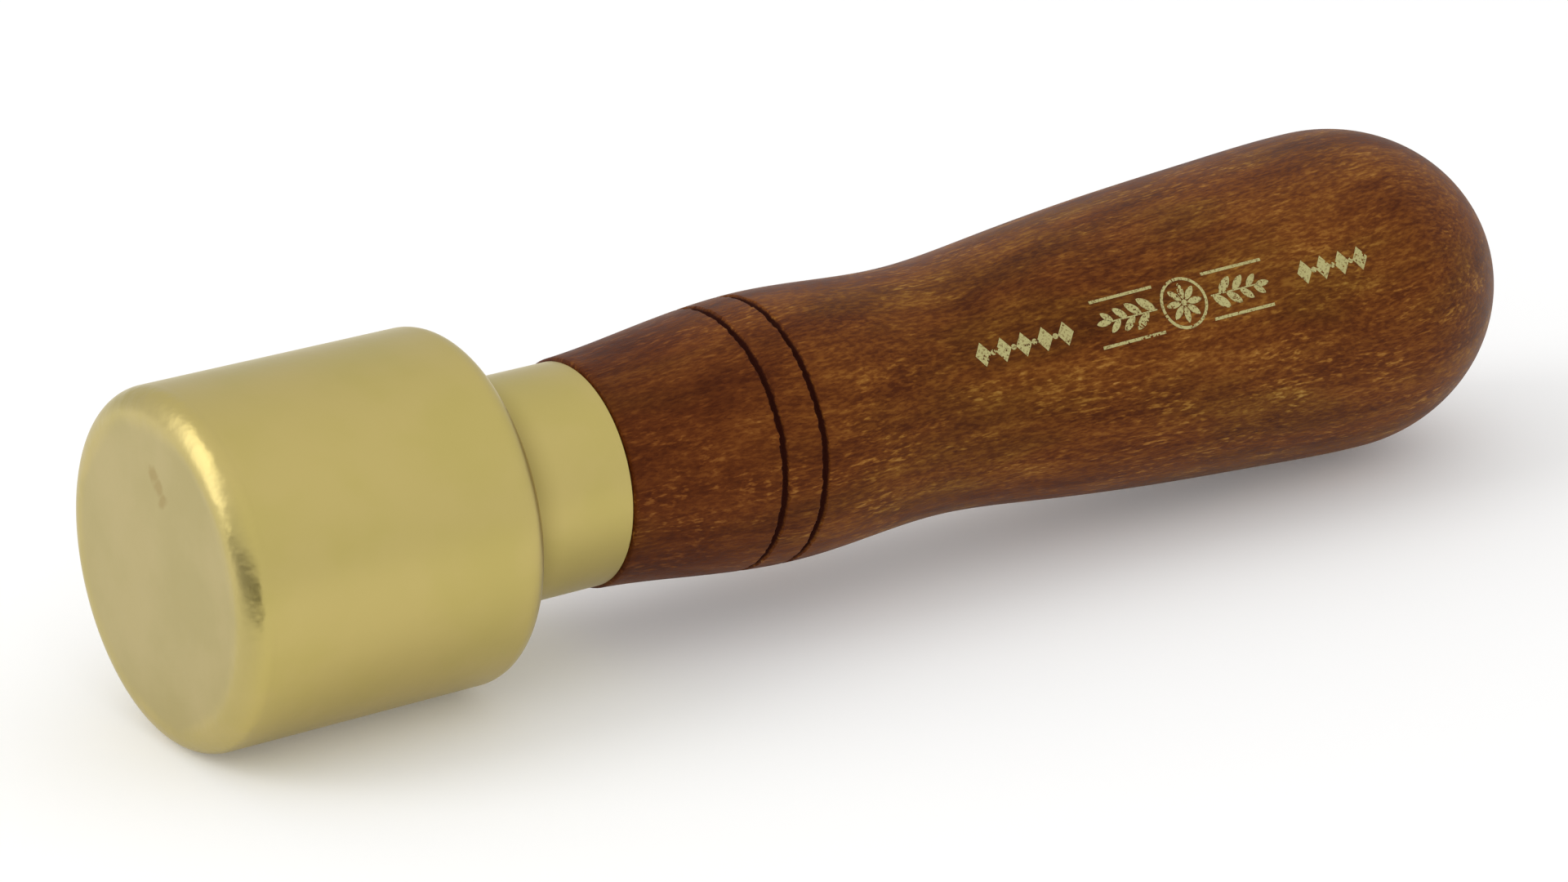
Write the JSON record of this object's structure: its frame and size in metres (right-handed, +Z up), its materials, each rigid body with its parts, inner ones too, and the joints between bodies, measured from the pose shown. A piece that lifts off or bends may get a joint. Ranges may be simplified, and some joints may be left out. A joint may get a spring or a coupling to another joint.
{
  "type": "carving mallet",
  "caption": "Short round carver's mallet: a solid brass drum head with a slim neck, on a turned and stained hardwood handle with a waist, two grooves and a domed butt.",
  "frame": {"origin": "on the surface that the mallet lies on, under the middle of its length", "axes": "+X along the tool's own axis, from the striking face to the butt of the handle; +Z up, with the mallet lying on its side; the tool is round about its axis"},
  "size_m": [0.181, 0.04, 0.04],
  "materials": {
    "brass": "satin",
    "stained_hardwood": "satin",
    "stud_steel": "satin",
    "foil": "satin"
  },
  "bodies": {
    "root": {"head": "brass", "handle": "stained_hardwood", "stud": "stud_steel"}
  },
  "joints": []
}
